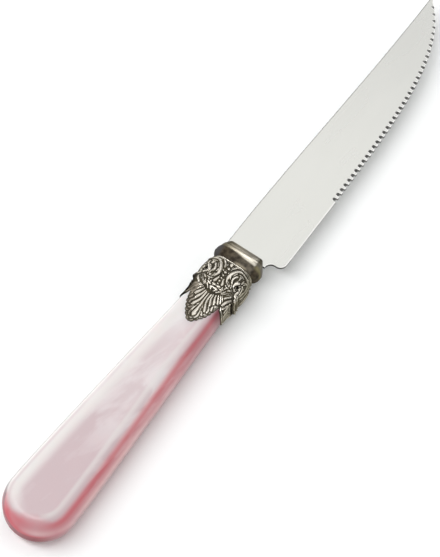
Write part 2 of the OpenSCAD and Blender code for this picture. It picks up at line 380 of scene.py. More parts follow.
def handle_shades(angle, turn, under=False):
    """Shares of the colours in SHADES at arrays of angles and turns in degrees. On the
    flat the angle is below zero. Round the butt the line starts LINE_REACH degrees
    earlier on the under half."""
    def at_turn(values):
        return np.interp(turn, SHADE_TURNS, values)

    start = at_turn(ROSE_STARTS)
    rose = at_turn(ROSE_SHARES) * smooth(angle, start, start + at_turn(ROSE_FADES))
    deep_start = at_turn(DEEP_STARTS)
    deep = at_turn(DEEP_SHARES) * smooth(angle, deep_start, deep_start + DEEP_FADE)
    painted_shade_band = SHADE_BAND_SHARE * bell(angle, SHADE_BAND_AT, SHADE_BAND_W) * smooth(turn, *SHADE_BAND_TURNS)
    edge = smooth(turn, *EDGE_TURNS)
    dipped = 1 - DIP_SHARE * bell(angle, DIP_AT, DIP_W)
    painted_sheen = smooth(angle, mix(*PAINTED_SHEEN_STARTS, edge), mix(*PAINTED_SHEEN_FULL, edge))
    painted_sheen = painted_sheen * mix(dipped, smooth(angle, *EDGE_PAINTED_SHEEN_END), edge)
    painted_reflection = bell(angle, at_turn(PAINTED_REFLECTION_ANGLES), at_turn(PAINTED_REFLECTION_WIDTHS))
    round_butt = smooth(turn, *BUTT_TURNS)
    line_start = at_turn(LINE_STARTS) - LINE_REACH * round_butt * np.asarray(under)
    line = smooth(angle, line_start, line_start + mix(*LINE_FADES, round_butt))
    line = at_turn(LINE_SHARES) * line * mix(smooth(angle, *LINE_END), 1, round_butt)
    # The deep share also carries the painted shade band
    return [at_turn(PAINTED_SHEEN_SHARES) * painted_sheen, rose, np.maximum(deep, painted_shade_band),
            at_turn(PAINTED_REFLECTION_SHARES) * painted_reflection, line]


def flat_shades(points):
    """The same shares on a flat, from how far each point lies inside its border."""
    x, y = points[:, 0], points[:, 1]
    past = np.maximum(BUTT_X - x, 0)
    inside = body_w(x) - CORNER_SHARE * body_t(x) - np.hypot(past, y)
    turn = np.degrees(np.arctan2(past, y))
    return handle_shades(-FLAT_DEGREES * inside, turn)


def handle_columns():
    """Columns of points down the handle's side, from the front round the butt and
    back, with the shades at each point."""
    points, shades = [], []
    stops = [(x, 0.0) for x in np.linspace(HANDLE_X, BUTT_X, BODY_STEPS + 1)]
    stops += [(BUTT_X, a) for a in np.linspace(0, math.pi, BUTT_STEPS + 1)[1:-1]]
    stops += [(x, math.pi) for x in np.linspace(BUTT_X, HANDLE_X, BODY_STEPS + 1)]
    for x, turn in stops:
        out, z, angle = side_profile(float(body_w(x)), float(body_t(x)))
        points.append(np.stack([x - out * math.sin(turn), out * math.cos(turn), z], -1))
        shades.append(handle_shades(angle, math.degrees(turn), z < 0))
    return np.array(points), np.array(shades).transpose(1, 0, 2)


def side_faces(count, height):
    """Quads between neighbouring columns."""
    c = np.arange(count - 1)[:, None] * height
    p = np.arange(height - 1)[None, :]
    quads = np.stack([c + p, c + p + 1, c + height + p + 1, c + height + p], -1)
    return quads.reshape(-1, 4).tolist()


def flat_strips(points, left, right, flip):
    """A flat in strips between the points numbered left and right on its two borders,
    as its new points, its faces and its first row of point numbers."""
    inner = FLAT_STRIPS - 1
    share = (np.arange(inner) + 1) / FLAT_STRIPS
    grid = mix(points[left][:, None, :], points[right][:, None, :], share[None, :, None])
    own = len(points) + np.arange(len(left) * inner).reshape(len(left), inner)
    rows = np.concatenate([left[:, None], own, right[:, None]], 1)
    faces = []
    for row, after in zip(rows[:-1], rows[1:]):
        for m in range(FLAT_STRIPS):
            corners = (row[m], after[m], after[m + 1], row[m + 1])
            face = [int(i) for i in dict.fromkeys(corners)]
            if len(face) > 2:
                faces.append(face[::-1] if flip else face)
    return grid.reshape(-1, 3), faces, rows[0]


def rounded_outline(direction, w, h):
    """The point of a squarish oval with half sizes w and h in each direction."""
    size = (np.abs(direction) / (w, h)) ** PLUG_POWER
    return direction / size.sum(axis=1, keepdims=True) ** (1 / PLUG_POWER)


def plug_and_bore(outline):
    """Rings of points from the body's front outline over the plug to the bore's end."""
    direction = outline[:, 1:] / np.linalg.norm(outline[:, 1:], axis=1, keepdims=True)
    plug = rounded_outline(direction, PLUG_W / 2, PLUG_T / 2)
    bore = direction * BORE_R
    plug_end = HANDLE_X + PLUG_LEN
    stops = ((HANDLE_X, plug), (plug_end, plug), (plug_end, bore), (BORE_END, bore))
    return [np.column_stack([np.full(len(outline), x), ring]) for x, ring in stops]


def handle_mesh():
    """The body with its flats in strips, and the plug and the bore at the front."""
    columns, shades = handle_columns()
    count, height = columns.shape[:2]
    points = columns.reshape(-1, 3)
    shades = [shades.reshape(len(SHADES), -1)]
    faces = side_faces(count, height)
    step = np.arange(count // 2 + 1)
    borders = []
    for level, flip in ((0, False), (height - 1, True)):
        left = step * height + level
        right = (count - 1 - step) * height + level
        grid, strips, border = flat_strips(points, left, right, flip)
        points = np.concatenate([points, grid])
        shades.append(flat_shades(grid))
        faces += strips
        borders.append(border)
    top, under = borders
    down = np.arange(height)
    before = np.concatenate([
        down, under[1:-1], (count - 1) * height + down[::-1], top[1:-1][::-1]])
    shaded = len(points)
    for ring in plug_and_bore(points[before]):
        now = len(points) + np.arange(len(ring))
        points = np.concatenate([points, ring])
        faces += np.stack([before, now, np.roll(now, -1), np.roll(before, -1)], -1).tolist()
        before = now
    centre = np.full(len(before), len(points))
    faces += np.stack([before, centre, np.roll(before, -1)], -1).tolist()
    points = np.concatenate([points, [[BORE_END, 0, 0]]])
    shades.append(np.zeros((len(SHADES), len(points) - shaded)))
    return points, faces, dict(zip(SHADES, np.concatenate(shades, 1)))


PEARL_PALE = srgb(228, 222, 222)
PEARL_PINK = srgb(204, 185, 188)
PAINTED_SHEEN_WHITE = srgb(223, 218, 216)
PAINTED_REFLECTION_WHITE = srgb(246, 243, 241)
FRONT_PINK = srgb(204, 178, 182)
FRONT_ROSE = srgb(182, 124, 130)
ROSE = srgb(206, 130, 137)
ROSE_PALE = srgb(228, 188, 190)
PAINTED_REFLECTION_PALE = srgb(236, 198, 196)
DEEP_ROSE = srgb(206, 92, 103)
PAINTED_SHADE_ROSE = srgb(140, 44, 58)
PAINTED_SHADE_GREY = srgb(128, 116, 120)
PAINTED_NOTCH_SHADOW = srgb(112, 50, 60)

# Stretches of the handle over which a shade comes in, along the knife and across it
PINK_X = (-26, -50)
PINKER_X = (-58, -92)
FRONT_X = (-52, -28)
MIDDLE_START_X = (-38, -56)
MIDDLE_END_X = (-82, -66)
STREAKY_X = (-100, -90)
NOTCH_X = (-28, -22.5)
PAINTED_REFLECTION_PALE_X = (-103, -95)
PAINTED_REFLECTION_FADE_X = (-45, -80)
EDGE_HALF_Y = (0.5, -6.5)
SPINE_HALF_Y = (-1, 1)


def flat_colour(x, y, front, streaks, painted_sheen):
    """The pale flats, in clouds that turn pinker to the butt, and the whitish shoulders, which
    are a painted highlight.
    """
    clouds = noise(place(x.id_data, (0.4, 1, 1), 18), 0.17, 3, 0.5, 0.8)
    cloud = plus(times(clouds, 0.7), times(streaks, 0.3))
    pale = remap(cloud, 0.38, 0.62, 0.25, -0.3)
    back = plus(remap(x, *PINK_X, 0, 0.5), remap(x, *PINKER_X, 0, 0.7))
    return layered(
        PEARL_PALE,
        (plus(back, pale, clamp=True), PEARL_PINK),
        (times(front, remap(y, *EDGE_HALF_Y)), FRONT_PINK),
        (painted_sheen, PAINTED_SHEEN_WHITE))


def side_colour(x, front, streaks):
    """The rose in the thickness, a little paler in places along the knife."""
    middle = times(remap(x, *MIDDLE_START_X), remap(x, *MIDDLE_END_X))
    streaky = times(remap(streaks, 0.42, 0.62, 0, 0.4), remap(x, *STREAKY_X))
    faded = plus(streaky, times(middle, 0.15), clamp=True)
    return layered(ROSE, (faded, ROSE_PALE), (times(front, 0.8), FRONT_ROSE))


def handle_material():
    """Pearly acrylic, with a rose shade in the thickness that runs deep round the butt. The
    whitish shoulders are a painted highlight, the pale stripe a painted reflection, and the
    line, the dark band and the notch by the ferrule are painted shade and shadow.
    """
    material, tree, shader = new_material("pearl_acrylic")
    painted_sheen, rose, deep, painted_reflection, line = (attribute(tree, name) for name in SHADES)
    x, y = (knife_place(tree, axis) for axis in (ALONG, ACROSS))
    streaks = noise(place(tree, (0.16, 1, 1), 8), 0.36, 3, 0.5, 0.5)
    front = remap(x, *FRONT_X)
    # Painted shadow: dark red on the rose by the ferrule, where its leaves shade the handle
    notch = times(remap(x, *NOTCH_X), rose)
    spine_side = remap(y, *SPINE_HALF_Y)
    # The stripe's colour, a painted reflection, whiter on the spine's side
    painted_reflection_colour = layered(ROSE_PALE, (remap(x, *PAINTED_REFLECTION_PALE_X), PAINTED_REFLECTION_PALE),
                     (spine_side, PAINTED_REFLECTION_WHITE))
    painted_reflection_reach = math_node("MAXIMUM", spine_side, remap(x, *PAINTED_REFLECTION_FADE_X, 0.15, 1.0))
    colour = layered(
        flat_colour(x, y, front, streaks, painted_sheen),
        (rose, side_colour(x, front, streaks)),
        (deep, DEEP_ROSE),
        (times(notch, 0.8), PAINTED_NOTCH_SHADOW),
        (times(painted_reflection, painted_reflection_reach), painted_reflection_colour),
        # The line, painted shade, is grey, and dark rose where the rose runs deep
        (line, blend(deep, PAINTED_SHADE_GREY, PAINTED_SHADE_ROSE)))
    flow = noise(place(tree, (0.3, 1, 1)), 0.9, 2)
    feed(shader, {
        "Base Color": colour,
        "Roughness": 0.3,
        "Specular IOR Level": 0.33,
        "Coat Weight": 0.1,
        "Coat Roughness": 0.08,
        "Subsurface Weight": 0.5,
        "Subsurface Radius": (0.004, 0.003, 0.003),
        "Subsurface Scale": 1.0,
        "Normal": bump(flow, 0.02, 0.3)})
    return material


# Ferrule ornament. Each stroke is (height, half width at each point, points as (x, girth
# from the middle of a flat face)), drawn once and mirrored to all four quarters. Only
# EDGE_SIDE_LEAF, PATCH and PATCH_RIBS are on one side alone.

GRID_QUARTER = 132
GRID_ROWS = 280
GRID_END = -31.4
GROUND = -0.62
SHELL = 1.0
STROKE_SPREAD = 1.18
# How far the drawing leans in the middle of a face, to the edge's side where negative:
# more and more along the knife, less at the fan, and more again near the rim
SKEW = -0.72
SKEW_X = (-6.0, -17.0)
FAN_SHIFT = (0.33, -20.5, 3.5)
RIM_SHIFT = -0.4
RIM_SHIFT_REACH = 0.9
RIM_SHIFT_X = (-11.5, -9.5)

RIM_FOLIAGE = [
    # Blob in the triangle at the rim and the dots beside it
    (0.66, (0.36, 0.5, 0.5, 0.26), ((-6.9, 0.0), (-7.3, 0.0), (-7.8, 0.0), (-8.2, 0.0))),
    (0.5, (0.24, 0.26), ((-6.75, 1.6), (-6.9, 1.95))),
    (0.3, (0.14, 0.16), ((-8.0, 1.0), (-8.5, 0.85))),
    (0.35, (0.2, 0.2), ((-10.5, 1.0), (-10.7, 0.9))),
]

SCROLLS = [
    # Outer line of the scroll, from the middle of the face round to the side
    (0.62, (0.2, 0.28, 0.3, 0.3, 0.28, 0.22, 0.18, 0.16, 0.16),
     ((-9.5, 1.2), (-8.75, 1.3), (-8.15, 1.7), (-7.6, 2.2), (-7.15, 2.75), (-6.95, 3.4),
      (-6.95, 4.5), (-7.05, 6.5), (-7.4, 9.0))),
    # Main scroll with its fork
    (0.66, (0.24, 0.36, 0.42, 0.5, 0.52, 0.48, 0.42, 0.38, 0.34, 0.3, 0.26, 0.2),
     ((-13.8, 2.2), (-13.1, 1.98), (-12.3, 1.7), (-11.3, 1.75), (-10.3, 2.0), (-9.4, 2.4),
      (-8.6, 3.05), (-8.15, 3.7), (-7.95, 4.5), (-8.0, 5.4), (-8.3, 6.8), (-9.1, 8.4))),
    (0.58, (0.3, 0.3, 0.14), ((-10.8, 2.15), (-11.4, 2.3), (-12.1, 2.6))),
    # Fingers that curl inside the scroll
    (0.64, (0.42, 0.32, 0.38, 0.38, 0.28, 0.14),
     ((-10.1, 4.05), (-10.7, 3.65), (-11.4, 3.4), (-12.1, 3.45), (-12.7, 3.75), (-13.1, 4.0))),
    (0.7, (0.46, 0.26, 0.12), ((-9.3, 5.2), (-9.9, 5.15), (-10.6, 5.3))),
    (0.66, (0.46, 0.6, 0.5, 0.38, 0.28, 0.14),
     ((-11.45, 5.75), (-11.8, 5.25), (-12.4, 4.9), (-13.0, 4.8), (-13.4, 4.85), (-13.8, 5.1))),
    (0.4, (0.14, 0.2, 0.14), ((-9.2, 3.5), (-9.9, 3.1), (-10.6, 2.85))),
    (0.35, (0.12, 0.18, 0.12), ((-8.9, 4.4), (-8.75, 5.3), (-9.1, 6.3))),
    (0.4, (0.12, 0.16, 0.1), ((-12.9, 4.0), (-13.6, 4.15), (-14.3, 4.5))),
    # Ring beside the eye
    (0.45, (0.2, 0.26, 0.2), ((-13.85, 5.5), (-14.2, 6.0), (-14.1, 6.4))),
]

BEAD_LEAVES = [
    # Leaf beside the beads and the small buds behind it
    (0.64, (0.12, 0.26, 0.36, 0.4, 0.24),
     ((-13.1, 0.85), (-13.7, 0.92), (-14.4, 1.2), (-15.0, 1.35), (-15.35, 1.38))),
    (0.58, (0.26, 0.3), ((-13.95, 3.45), (-14.3, 3.6))),
    (0.25, (0.12, 0.16, 0.14), ((-14.5, 2.3), (-14.95, 3.1), (-14.95, 4.0))),
    (0.6, (0.24, 0.28), ((-15.75, 2.1), (-15.95, 2.2))),
    (0.48, (0.2, 0.24), ((-15.4, 3.15), (-15.7, 3.0))),
    (0.6, (0.2, 0.26, 0.18), ((-15.1, 4.9), (-15.35, 4.6), (-15.6, 4.2))),
    (0.35, (0.12, 0.14, 0.1), ((-13.0, 2.6), (-13.9, 2.7), (-14.5, 3.0))),
]

KNOT = [
    (0.62, (0.3, 0.36, 0.26), ((-17.25, 0.0), (-17.2, 0.6), (-17.3, 1.2))),
    (0.58, (0.2, 0.26, 0.2), ((-16.15, 0.2), (-16.3, 0.65), (-16.45, 1.15))),
    (0.6, (0.2, 0.3, 0.2), ((-17.35, 1.25), (-17.75, 0.85), (-18.2, 0.5))),
    (0.62, (0.18, 0.3, 0.2), ((-16.75, 1.65), (-16.55, 2.2), (-16.3, 2.85))),
    (0.58, (0.18, 0.26, 0.18), ((-17.0, 2.7), (-17.5, 2.15), (-18.2, 1.5))),
    (0.58, (0.18, 0.26, 0.18), ((-16.3, 3.75), (-16.9, 3.45), (-17.5, 2.95))),
    (0.4, (0.12, 0.16, 0.12), ((-15.9, 0.5), (-15.95, 1.0), (-16.1, 1.5))),
    (0.5, (0.14, 0.18, 0.12), ((-16.4, 4.6), (-17.1, 4.0), (-17.7, 3.3))),
]

PETALS = [
    # From the middle of the fan to its side
    (0.64, (0.18, 0.26, 0.34, 0.54, 0.7, 0.4),
     ((-19.6, 0.0), (-22.0, 0.0), (-24.5, 0.0), (-26.4, 0.0), (-27.6, 0.0), (-28.4, 0.0))),
    (0.64, (0.24, 0.32, 0.32, 0.42, 0.5, 0.36),
     ((-19.5, 0.85), (-21.2, 0.9), (-22.8, 1.15), (-24.0, 1.7), (-24.9, 2.1), (-25.5, 2.3))),
    (0.64, (0.2, 0.32, 0.42, 0.34),
     ((-19.2, 1.4), (-20.9, 1.75), (-22.0, 2.25), (-22.9, 2.6))),
    (0.64, (0.2, 0.32, 0.5, 0.4),
     ((-18.9, 2.15), (-20.0, 2.6), (-21.0, 3.15), (-21.7, 3.45))),
    (0.6, (0.18, 0.28, 0.32), ((-18.5, 2.85), (-19.7, 3.7), (-20.8, 4.45))),
    (0.5, (0.16, 0.24, 0.24), ((-18.25, 3.5), (-19.3, 4.5), (-20.1, 5.1))),
    (0.46, (0.14, 0.2, 0.16), ((-18.05, 4.05), (-18.7, 4.75), (-19.2, 5.2))),
]

FAN_BORDER = [
    # Lobes along the fan's border, from its tip to its side
    (0.5, (0.2, 0.3, 0.2), ((-29.3, 0.35), (-29.55, 0.0), (-29.4, -0.3))),
    (0.6, (0.14, 0.28, 0.34, 0.26),
     ((-25.1, 0.85), (-26.5, 1.25), (-28.0, 1.35), (-28.9, 1.0))),
    (0.6, (0.14, 0.34, 0.38), ((-25.9, 1.55), (-26.4, 2.0), (-26.9, 2.3))),
    (0.6, (0.2, 0.36, 0.34), ((-23.3, 2.55), (-24.3, 3.2), (-25.3, 3.15))),
    (0.58, (0.26, 0.4, 0.34), ((-22.5, 3.75), (-23.2, 3.8), (-23.8, 4.0))),
]

PATCH = (-20.0, 5.7, 1.9, 2.0)
EDGE_SIDE_LEAF = [
    (0.56, (0.24, 0.4, 0.5, 0.4), ((-17.3, 6.95), (-18.2, 6.55), (-19.1, 6.2), (-19.9, 6.05))),
]
PATCH_RIBS = [
    (0.5, (0.2, 0.34, 0.3), ((-18.9, 4.9), (-20.0, 5.5), (-21.1, 6.0))),
    (0.5, (0.2, 0.34, 0.3), ((-18.6, 6.1), (-19.8, 6.7), (-21.0, 7.1))),
]

SIDE_BUDS = [
    (0.58, (0.32, 0.42), ((-13.7, 7.3), (-13.95, 7.4))),
    (0.66, (0.28, 0.44, 0.44, 0.24), ((-14.4, 7.1), (-14.9, 7.25), (-15.3, 7.45), (-15.7, 7.65))),
    (0.62, (0.26, 0.38, 0.28), ((-16.25, 7.85), (-16.4, 8.1), (-16.5, 8.45))),
    (0.6, (0.16, 0.32, 0.2), ((-15.3, 8.5), (-15.4, 8.9), (-15.45, 9.4))),
    (0.5, (0.16, 0.28, 0.2), ((-14.5, 8.2), (-14.6, 8.6), (-14.75, 9.1))),
    (0.45, (0.14, 0.26, 0.2), ((-16.2, 8.5), (-16.3, 8.9), (-16.45, 9.4))),
    (0.5, (0.12, 0.24, 0.14), ((-9.6, 6.75), (-10.2, 6.65), (-10.9, 6.7))),
    (0.5, (0.24, 0.16), ((-10.1, 7.85), (-10.6, 7.55))),
    (0.45, (0.14, 0.26, 0.16), ((-12.2, 7.1), (-12.8, 7.25), (-13.3, 7.6))),
    (0.4, (0.14, 0.24, 0.16), ((-11.2, 7.4), (-11.7, 7.9), (-11.6, 8.6))),
]

SIDE_RIBS = [
    # Lines that turn round the small swirl on the side, from the inside out
    (0.36, (0.12, 0.2, 0.18, 0.1), ((-11.3, 7.3), (-12.1, 8.15), (-13.0, 8.5), (-14.0, 8.75))),
    (0.4, (0.12, 0.2, 0.26, 0.34, 0.34, 0.2),
     ((-10.4, 6.9), (-9.5, 8.0), (-9.6, 9.2), (-10.7, 9.9), (-12.3, 9.7), (-14.1, 9.4))),
    (0.38, (0.12, 0.2, 0.32, 0.4, 0.26),
     ((-7.7, 7.4), (-8.4, 8.8), (-9.3, 10.6), (-11.1, 11.5), (-13.8, 11.0))),
    (0.3, (0.12, 0.2, 0.2, 0.16), ((-7.8, 10.4), (-8.4, 12.0), (-10.1, 12.9), (-13.2, 12.7))),
    # Ribs across the boss
    (0.28, (0.14, 0.34, 0.5, 0.44), ((-14.8, 9.4), (-15.1, 10.6), (-14.9, 12.0), (-14.8, 13.5))),
    (0.3, (0.12, 0.22, 0.24, 0.2), ((-16.4, 9.9), (-16.6, 11.0), (-16.4, 12.2), (-16.3, 13.5))),
]

LEAF_VEINS = [
    (0.5, (0.2, 0.32, 0.3), ((-16.4, 6.2), (-17.0, 5.9), (-17.6, 5.3))),
    (0.55, (0.26, 0.3), ((-17.8, 5.1), (-18.0, 5.15))),
    (0.68, (0.22, 0.36, 0.38, 0.2), ((-18.7, 7.7), (-19.8, 7.3), (-20.5, 7.05), (-20.9, 7.0))),
    (0.52, (0.16, 0.26, 0.24, 0.14), ((-18.0, 7.9), (-19.0, 8.3), (-20.2, 8.5), (-21.2, 8.6))),
    (0.5, (0.14, 0.22, 0.24, 0.14), ((-18.5, 9.0), (-19.7, 9.5), (-21.0, 9.8), (-22.1, 9.9))),
    (0.38, (0.14, 0.22, 0.24, 0.14), ((-18.6, 10.2), (-19.9, 10.9), (-21.3, 11.2), (-22.4, 11.2))),
    (0.38, (0.14, 0.22, 0.24, 0.14), ((-18.6, 11.5), (-20.0, 12.2), (-21.4, 12.5), (-22.3, 12.5))),
]

BEADS = ((-9.4, 0.46), (-11.0, 0.4), (-12.25, 0.35), (-13.35, 0.34), (-14.4, 0.34), (-15.35, 0.28))
BEAD_STRETCH = 1.25

# The ferrule's back edge, as (x, girth): the fan leaf, the notch and the side leaf
LEAF_EDGE = (
    (-30.9, -1.2), (-31.0, 0.0), (-30.5, 1.0), (-29.5, 1.9), (-28.6, 2.6), (-27.5, 3.3),
    (-26.2, 4.0), (-25.0, 4.5), (-23.7, 4.95), (-22.4, 5.3), (-21.5, 5.6), (-21.1, 5.95),
    (-21.4, 6.3), (-21.9, 6.7), (-22.1, 7.5), (-22.5, 8.5), (-22.9, 9.5), (-23.1, 10.5),
    (-23.0, 11.5), (-22.8, 12.5), (-22.7, 14.5),
)
SPINE_LEAF_EXTRA = 0.8
SCALLOP_PITCH = 1.62
SCALLOP_DEPTH = 0.28
SCALLOPED_LEN = 10.5
EYE = (-12.6, 6.3)
EYE_R = 0.58
EYE_DEPTH = 0.7
# Dark cleft between the boss and the side leaf, as (x, half width, girth it starts at)
CLEFT = (-17.35, 0.5, 8.0)
CLEFT_DEPTH = 0.38
BEAD_RISE = 0.68
# Ridges round the rim, as (x, height, half width), and where the rim ends
RIM_RIDGES = ((-6.5, 0.46, 0.2), (-6.98, 0.3, 0.13))
RIM_FADE_X = (-6.6, -7.0)
RIM_END = -7.2
# Girth between the fan and the side leaf, and where the fan's border starts
LEAF_SPLIT = (5.8, 6.4)
FAN_X = (-20.6, -21.8)
BORDER_HEIGHTS = (0.12, 0.4)
LIP_HEIGHT = 0.45
LIP_INSET = 0.32
LIP_HALF = 0.26
# Fine lines beside the strokes: height, distance, half width and where they end
ECHO_HEIGHT = 0.16
ECHO_AT = 0.4
ECHO_HALF = 0.1
ECHO_X = (-18.0, -17.0)
PATCH_HEIGHT = 0.4
PATCH_SAG = 0.12
PATCH_RIB_SHARE = 0.75
# Slow swellings, as (height, x, reach along it, girth, reach round it)
SHOULDER = (0.3, -12.5, 3.0, 7.0, 2.2)
BOSS = (0.75, -16.6, 1.6, 7.6, 2.4)
# Swellings across the whole face, as (height, x, reach)
WAIST = (-0.2, -14.6, 0.7)
BROW = (0.42, -7.35, 0.6)
SEAM_DEPTH = 0.1
SEAM_REACH = 0.8
# How far the skin dives past the leaves' edge, and how far it may sink before that
DIVE = 1.0
METAL_FLOOR = -1.2
LEAF_FLOOR = -0.42
LEAF_LEAD = 1.2
CAVITY_REACH = 4
# Painted light: paler silver on the edge's side, as (share, x, reach along it, girth, reach round
# it)
SIDE_LIGHT = (0.6, -15.0, 1.8, 7.4, 1.3)
SIDE_LEAF_LIGHT = 0.14
SILVER_FIELDS = ("relief", "cavity", "flank", "spine_painted_shade", "dull")
# Stands for a distance out of reach
FAR = 99.0


def path_points(points, steps=10):
    """A smooth path through points, in a number of steps from each to the next."""
    p = np.asarray(points, float)
    p = np.concatenate([[2 * p[0] - p[1]], p, [2 * p[-1] - p[-2]]])
    t = np.linspace(0, 1, steps, endpoint=False)[:, None]
    found = []
    for a, b, c, d in zip(p[:-3], p[1:-2], p[2:-1], p[3:]):
        found.append(0.5 * (2 * b + (c - a) * t + (2 * a - 5 * b + 4 * c - d) * t ** 2
                            + (3 * b - a - 3 * c + d) * t ** 3))
    found.append(p[-2][None, :])
    return np.concatenate(found)


def stroke_distance(x, a, points, widths):
    """Each grid point's distance from a path, as a share of the half width there, and
    its gap to the stroke's border. Only points near the path are measured."""
    path = path_points(points)
    width = np.interp(np.linspace(0, len(points) - 1, len(path)), range(len(points)), widths)
    reach = 3 * max(widths) + 1.5
    near = ((x > path[:, 0].min() - reach) & (x < path[:, 0].max() + reach)
            & (a > path[:, 1].min() - reach) & (a < path[:, 1].max() + reach))
    q = np.stack([x[near], a[near]], -1)
    share = np.full(len(q), FAR)
    gap = np.full(len(q), FAR)
    for i in range(len(path) - 1):
        step = path[i + 1] - path[i]
        along = np.clip(((q - path[i]) @ step) / max(step @ step, 1e-9), 0, 1)
        d = np.linalg.norm(q - path[i] - along[:, None] * step, axis=1)
        w = mix(width[i], width[i + 1], along)
        share = np.minimum(share, d / w)
        gap = np.minimum(gap, d - w)
    full_share = np.full(x.shape, FAR)
    full_gap = np.full(x.shape, FAR)
    full_share[near] = share
    full_gap[near] = gap
    return full_share, full_gap


def ridge(share, power=3.0):
    """A rounded ridge: 1 on its path and 0 from its half width outwards."""
    return np.clip(1 - np.clip(share, 0, 1) ** power, 0, 1) ** 0.6


def strokes_height(x, a, strokes):
    """Height of the tallest stroke at each point, and the gap to the nearest one."""
    height = np.zeros_like(x)
    nearest = np.full_like(x, FAR)
    for rise, widths, points in strokes:
        widths = [w * STROKE_SPREAD for w in widths]
        share, gap = stroke_distance(x, a, points, widths)
        height = np.maximum(height, rise * ridge(share))
        nearest = np.minimum(nearest, gap)
    return height, nearest


def edge_field(x, a):
    """Distance outside the ferrule's back edge, and the length along that edge."""
    path = path_points(LEAF_EDGE, 6)
    steps = np.diff(path, axis=0)
    starts = np.concatenate([[0], np.cumsum(np.linalg.norm(steps, axis=1))])
    best = np.full(x.shape, FAR)
    length = np.zeros(x.shape)
    for start, step, reached in zip(path[:-1], steps, starts):
        dx = x - start[0]
        da = a - start[1]
        along_step = np.clip((dx * step[0] + da * step[1]) / (step @ step), 0, 1)
        d = np.hypot(dx - along_step * step[0], da - along_step * step[1])
        closer = d < best
        best = np.where(closer, d, best)
        length = np.where(closer, reached + along_step * np.linalg.norm(step), length)
    edge_x = np.interp(a, path[:, 1], path[:, 0])
    return np.where(x < edge_x, best, -best), length


def with_beads(x, a, height, nearest):
    """The same fields with the line of beads down the middle of the face."""
    for bead_x, r in BEADS:
        d = np.hypot(x - bead_x, a / BEAD_STRETCH) / r
        height = np.maximum(height, BEAD_RISE * np.sqrt(np.clip(1 - d ** 4, 0, 1)))
        nearest = np.minimum(nearest, (d - 1) * r)
    return height, nearest


def scalloped_edge(x, a, side):
    """How far outside the metal each point lies, the scallops' wave along the back
    edge, and 1 where that edge is scalloped."""
    longer = SPINE_LEAF_EXTRA * (side > 0) * smooth(a, 6.0, 7.5)
    outside, length = edge_field(x + longer, a)
    wave = np.abs(np.sin(math.pi * length / SCALLOP_PITCH))
    scalloped = smooth(length, SCALLOPED_LEN + 1, SCALLOPED_LEN)
    return outside + SCALLOP_DEPTH * (1 - wave) * scalloped, wave, scalloped


def edge_height(x, a, petal_gap, outside, wave, scalloped):
    """The fan's raised border, cut into lobes, and the side leaf's lip."""
    border = mix(*BORDER_HEIGHTS, smooth(outside, 0.0, -1.5))
    border = border * smooth(petal_gap, 0.16, 0.36) * smooth(outside, 0.05, -0.08)
    lobes = smooth(wave, 0.12, 0.45) * scalloped + (1 - scalloped)
    border = border * mix(1, lobes, smooth(outside, -2.2, -0.9))
    border = border * smooth(x, *FAN_X) * smooth(a, *LEAF_SPLIT[::-1])
    lip = LIP_HEIGHT * ridge(np.abs(outside + LIP_INSET) / LIP_HALF)
    return np.maximum(border, lip * smooth(a, *LEAF_SPLIT))


def patch_field(x, a, side):
    """The height of the plain patch beside the fan, and the distance from its middle
    as a share of its size. It is on the spine's side alone."""
    patch_x, patch_a, patch_w, patch_h = PATCH
    d = np.hypot((x - patch_x) / patch_w, (a - patch_a) / patch_h) + FAR * (side < 0)
    ribs, _ = strokes_height(x, a, PATCH_RIBS)
    sag = PATCH_SAG * np.clip(1 - d * d, 0, 1)
    return np.maximum(PATCH_HEIGHT - sag, PATCH_RIB_SHARE * ribs), d


def relief_field(x, a, side):
    """The ornament's height over its ground, how far outside the metal each point
    lies and how dull it is, for arrays of x, girth and side (1 to the spine, -1 to
    the edge)."""
    height, nearest = with_beads(x, a, *strokes_height(
        x, a, RIM_FOLIAGE + SCROLLS + BEAD_LEAVES + KNOT + SIDE_BUDS + SIDE_RIBS + LEAF_VEINS))
    on_edge_side, _ = strokes_height(x, a, EDGE_SIDE_LEAF)
    petals, petal_gap = strokes_height(x, a, PETALS + FAN_BORDER)
    outside, wave, scalloped = scalloped_edge(x, a, side)
    border = edge_height(x, a, petal_gap, outside, wave, scalloped)
    echo_gap = np.abs(np.minimum(nearest, petal_gap) - ECHO_AT) / ECHO_HALF
    echo = ECHO_HEIGHT * ridge(echo_gap, 2.0) * smooth(x, *ECHO_X)
    for other in (np.where(side < 0, on_edge_side, 0), petals, border, echo):
        height = np.maximum(height, other)
    patch, d = patch_field(x, a, side)
    height = mix(height, patch, smooth(d, 1.1, 0.85))
    fan_border = smooth(outside, -2.3, -1.5) * smooth(x, -20.5, -21.5)
    fan_tip = smooth(outside, -0.9, -0.5) * smooth(x, -28.3, -29)
    dull = np.maximum(np.maximum(smooth(d, 1.1, 0.9), fan_border) * (side > 0), fan_tip)
    cleft_x, cleft_w, cleft_start = CLEFT
    cleft = bell(x, cleft_x, cleft_w) * smooth(a, cleft_start, cleft_start + 1)
    height = height - CLEFT_DEPTH * cleft
    hole = np.hypot(x - EYE[0], a - EYE[1]) / EYE_R
    height = height * smooth(hole, 0.7, 1.3) - EYE_DEPTH * (1 - smooth(hole, 0.4, 1.0))
    return height, outside, dull


def with_rim(x, height, dull):
    """The same fields with the ridges round the rim, which is dull."""
    ridges = [rise * ridge(np.abs(x - at) / half) for at, rise, half in RIM_RIDGES]
    faded = height * smooth(x, *RIM_FADE_X)
    height = np.where(x > RIM_END, np.maximum(faded, np.maximum(*ridges)), height)
    return height, np.maximum(dull, smooth(x, -6.5, -6.35))


def hump(x, a, height, at, reach, girth, spread):
    return height * np.exp(-((x - at) / reach) ** 2 - ((a - girth) / spread) ** 2)


